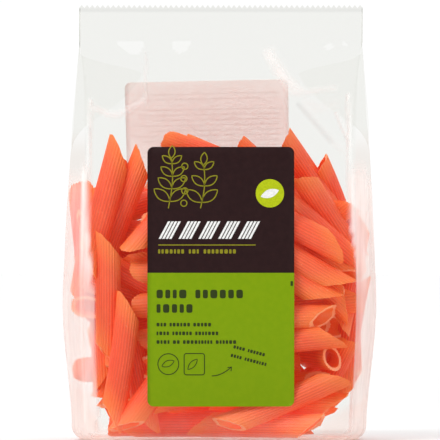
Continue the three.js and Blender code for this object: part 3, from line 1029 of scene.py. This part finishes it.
def penne_points(ends, sides, draw):
    """Outer and inner wall points of every tube: arrays of tube, ring, point round and xyz."""
    count = len(ends)
    axis = unit(ends[:, 0] - ends[:, 1])
    x_way = unit(sides - axis * (sides * axis).sum(1, keepdims=True))
    y_way = np.cross(axis, x_way)
    middle = ends.mean(1)
    size = draw.uniform(*SIZES, count)[:, None, None]
    oval = draw.uniform(*OVALNESS, count)[:, None, None]
    bend, bend_turn = draw.uniform(*BENDS, count), draw.uniform(0, 2 * np.pi, count)
    swing = np.cos(bend_turn) * x_way[:, 1] + np.sin(bend_turn) * y_way[:, 1]
    bend_turn = np.where(swing * middle[:, 1] > 0, bend_turn + np.pi, bend_turn)
    slope = 1 / math.tan(CUT_ANGLE)
    walls = []
    for points_round, rings, radius, ridge in (
            (OUTER_ROUND, OUTER_RINGS, PENNE_RADIUS, RIDGE_DEPTH),
            (INNER_ROUND, INNER_RINGS, PENNE_RADIUS - PENNE_WALL, 0)):
        turn = np.arange(points_round) / points_round * 2 * np.pi
        r = radius - ridge * (np.arange(points_round) % 3 == 0)
        t = np.linspace(1, -1, rings)[None, :, None]
        x = size * (1 + oval) * r * np.cos(turn) + 0 * t
        y = size * (1 - oval) * r * np.sin(turn) + 0 * t
        phase = bend_turn[:, None]
        ragged = RAGGED * np.sin(3 * turn + phase) * np.cos(5 * turn - 2 * phase)
        to_tip = np.clip((np.sign(t) * np.cos(turn) - 0.5) / 0.5, 0, 1) ** 2
        end = ragged[:, None] - TIP_ROUNDING * np.sign(t) * to_tip
        along = t * HALF_AXIS + slope * x + np.abs(t) ** 3 * end
        sag = bend[:, None, None] * (1 - (along / (HALF_AXIS + CUT_REACH)) ** 2)
        x = x + sag * np.cos(bend_turn)[:, None, None]
        y = y + sag * np.sin(bend_turn)[:, None, None]
        parts = ((x, x_way), (y, y_way), (along, axis))
        wall = sum(part[..., None] * way[:, None, None] for part, way in parts)
        walls.append(middle[:, None, None] + wall)
    return walls


def penne_faces():
    """Faces of one tube: its walls, ridged outside and plain inside, and the cut rims of its ends."""
    start = OUTER_RINGS * OUTER_ROUND
    outer = grid_faces(OUTER_RINGS, OUTER_ROUND, closed=True)[:, ::-1]
    inner = grid_faces(INNER_RINGS, INNER_ROUND, closed=True) + start
    rims = []
    for outer_ring, inner_ring, flip in (
            (0, start, False), (start - OUTER_ROUND, start + (INNER_RINGS - 1) * INNER_ROUND, True)):
        for k in range(INNER_ROUND):
            i0, i1 = inner_ring + k, inner_ring + (k + 1) % INNER_ROUND
            o = [outer_ring + (3 * k + m) % OUTER_ROUND for m in range(4)]
            for face in ((i0, o[0], o[1]), (i0, o[1], o[2]), (i0, o[2], i1), (i1, o[2], o[3])):
                rims.append(face[::-1] if flip else face)
    return np.vstack([outer, inner]), np.array(rims)


# What tints the dough, with painted shade and painted glow among them: a painted attribute, how
# strongly and towards which colour.
DOUGH_TONE_SHADE_AND_GLOW = (
    ("tone", 0.5, (1.0, 0.185, 0.064, 1)),
    # painted shade between the ridges and on the inside wall
    ("groove_shade", 0.6, (0.72, 0.065, 0.028, 1)),
    # painted glow of light through the thin tips near the cut ends
    ("edge", 0.75, (1.0, 0.25, 0.055, 1)),
    ("cut", 0.8, (1.0, 0.40, 0.20, 1)),
)
DOUGH = (0.92, 0.078, 0.028, 1), (1.0, 0.112, 0.040, 1)  # between these by cloudy noise
PALE_SPECK, DARK_FLECK = (1.0, 0.5, 0.28, 1), (0.55, 0.04, 0.02, 1)


def penne_material():
    """Dried red lentil dough: warm red-orange, with painted shade in its grooves and inside, a painted
    glow at its thin tips and a faint one all over, paler cut ends, a little see-through.
    """
    s = Shading("lentil_penne")
    body = s.mix(s.span(s.noise(120, 3), 0.3, 0.7), *DOUGH)
    for name, strength, colour in DOUGH_TONE_SHADE_AND_GLOW:
        body = s.mix(s.times(s.attribute(name), strength), body, colour)
    speck = s.noise(1400, 4)
    body = s.mix(s.span(speck, 0.62, 0.74, 0, 0.3), body, PALE_SPECK)
    body = s.mix(s.span(s.noise(2300, 2), 0.64, 0.72, 0, 0.3), body, DARK_FLECK)
    height = s.node("SeparateXYZ", {"Vector": s.place()}).outputs["Z"]
    shader = s.node("BsdfPrincipled", {
        "Base Color": body,
        "Roughness": s.span(speck, 0.3, 0.7, 0.42, 0.6),
        "Subsurface Weight": 0.35,
        "Subsurface Radius": (1.0, 0.28, 0.12),
        "Subsurface Scale": 0.0016,
        "Normal": s.bump(speck, 0.25, 0.0003),
        # Painted glow: the dough emits its own colour, more close to the floor.
        "Emission Color": body,
        "Emission Strength": s.span(height, 0, FLOOR_GLOW_TOP * MM, FLOOR_GLOW, PENNE_GLOW),
    })
    s.owner.cycles.emission_sampling = "NONE"
    return s.finish(shader)


def penne():
    """All the penne as one joined mesh."""
    ends, sides = pack_penne()
    draw = np.random.default_rng(SEED + 1)
    count = len(ends)
    walls = penne_points(ends, sides, draw)
    points = np.concatenate([wall.reshape(count, -1, 3) for wall in walls], 1)
    per_tube = points.shape[1]
    shift = np.arange(count)[:, None, None] * per_tube
    walls, rims = ((group + shift).reshape(-1, group.shape[1]).tolist() for group in penne_faces())
    piece = mesh_piece("penne", points.reshape(-1, 3), walls + rims, [penne_material()])
    cut = np.repeat([0, 1], [len(walls), len(rims)])
    paint(piece, "cut", cut, "FACE")
    paint(piece, "tone", np.repeat(draw.uniform(0, 1, count), per_tube))
    for name, values in tube_paint().items():
        paint(piece, name, np.tile(values, count))
    sharpen(piece, cut)
    return piece


def tube_paint():
    """Along one tube's points: how near a cut end each is, for the painted glow of its thin tips, and
    the painted shade between the ridges and on the inside wall.
    """
    edge = [np.repeat([1, 0.12, 0, 0.12, 1], OUTER_ROUND), np.repeat([1, 0, 1], INNER_ROUND)]
    groove_shade = [np.tile([1, 0, 0], OUTER_RINGS * RIDGES), np.full(INNER_RINGS * INNER_ROUND, 0.4)]
    return {"edge": np.concatenate(edge), "groove_shade": np.concatenate(groove_shade)}


def sharpen(piece, cut):
    """Marks the edges between the tubes' walls and their cut rims as sharp."""
    mesh = piece.data
    sizes, loop_edge = np.zeros(len(mesh.polygons), np.int32), np.zeros(len(mesh.loops), np.int32)
    mesh.polygons.foreach_get("loop_total", sizes)
    mesh.loops.foreach_get("edge_index", loop_edge)
    touching = np.zeros((len(mesh.edges), 2), int)
    np.add.at(touching, (loop_edge, np.repeat(cut, sizes)), 1)
    sharp = (touching > 0).all(1)
    mesh.attributes.new("sharp_edge", "BOOLEAN", "EDGE").data.foreach_set("value", sharp)


# ---- stage

PHOTO_SIZE = 440  # pixels, wide and high
PHOTO_SCALE = 2.65  # pixels a millimetre at the bag
AXIS_COLUMN, FLOOR_ROW = 219.5, 439.5
CAMERA_DISTANCE = 3.0
EYE_HEIGHT = (FLOOR_ROW - PHOTO_SIZE / 2) / PHOTO_SCALE  # millimetres
FRONT_GLOW, BACK_GLOW = 0.3, 1.3  # brightness of the studio before and behind the bag
GLOW_TURN = -0.4, 0.7  # where one turns into the other, along the way to the bright side
BRIGHT_SIDE = (0, 0.75, 0.66)  # where the studio's light is strongest
BACKDROP_GLOW = 1.02  # how bright the studio looks to the camera
LIGHT_AIM = (0, 0, 0.08)
FLOOR_RADIUS = 9000
FLOOR_DROP = 0.02  # how far the floor lies below the bag's base
NEAR_FLOOR, FAR_FLOOR = 0.2, 2.4  # metres from the bag between which the floor turns paler
SENSOR = 36.0


def floor():
    s = Shading("studio_floor")
    distance = s.node("VectorMath", {0: s.place()}, operation="LENGTH").outputs["Value"]
    near_tone = s.mix(s.noise(6, 3), (0.80, 0.80, 0.80, 1), (0.83, 0.83, 0.83, 1))
    shader = s.node("BsdfPrincipled", {
        "Base Color": s.mix(s.span(distance, NEAR_FLOOR, FAR_FLOOR), near_tone, (0.96, 0.96, 0.96, 1)),
        "Roughness": 0.9,
        "Specular IOR Level": 0.1,
    })
    x, y = circle(64)
    rim = np.stack([FLOOR_RADIUS * x, FLOOR_RADIUS * y, 0 * x - FLOOR_DROP], 1)
    piece = mesh_piece("floor", rim, [range(64)], [s.finish(shader)])


def world():
    """A white studio: its light is strongest from above and behind, and it looks evenly white."""
    s = Shading("studio", bpy.data.worlds)
    bpy.context.scene.world = s.owner
    way = s.node("TexCoord").outputs["Generated"]
    facing = s.node("VectorMath", {0: way, 1: BRIGHT_SIDE}, operation="DOT_PRODUCT")
    light = s.span(facing.outputs["Value"], *GLOW_TURN, FRONT_GLOW, BACK_GLOW)
    in_view = s.node("LightPath").outputs["Is Camera Ray"]
    strength = s.node("Mix", {0: in_view, 2: light, 3: BACKDROP_GLOW}).outputs[0]
    background = s.node("Background", {"Color": (1, 1, 1, 1), "Strength": strength})
    s.finish(background, "OutputWorld")


def softbox(name, place, size, power):
    data = bpy.data.lights.new(name, "AREA")
    data.shape = "SQUARE"
    data.size = size
    data.energy = power
    lamp = placed(name, data)
    lamp.location = place
    lamp.rotation_euler = (Vector(LIGHT_AIM) - Vector(place)).to_track_quat("-Z", "Y").to_euler()


def camera():
    data = bpy.data.cameras.new("camera")
    data.sensor_width = SENSOR
    width = PHOTO_SIZE / PHOTO_SCALE * MM
    data.lens = SENSOR * CAMERA_DISTANCE / width
    data.clip_end = 40
    eye = placed("camera", data)
    x = (PHOTO_SIZE / 2 - AXIS_COLUMN) / PHOTO_SCALE * MM
    eye.location = (x, -CAMERA_DISTANCE, EYE_HEIGHT * MM)
    eye.rotation_euler = (math.pi / 2, 0, 0)
    bpy.context.scene.camera = eye


# ---- the scene

film_piece = film()
front_label, back_label = labels()
pasta = penne()

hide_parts("bag")
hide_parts("front_label")
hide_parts("back_label")
for piece in [film_piece, front_label, back_label, pasta, *front_prints(), *back_prints()]:
    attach(piece, BODY)

floor()
world()
softbox("key_light", place=(-1.2, -1.5, 1.6), size=0.8, power=28)
softbox("fill_light", place=(1.6, -1.2, 0.7), size=1.2, power=4)
camera()
bpy.context.scene.view_settings.view_transform = "Standard"
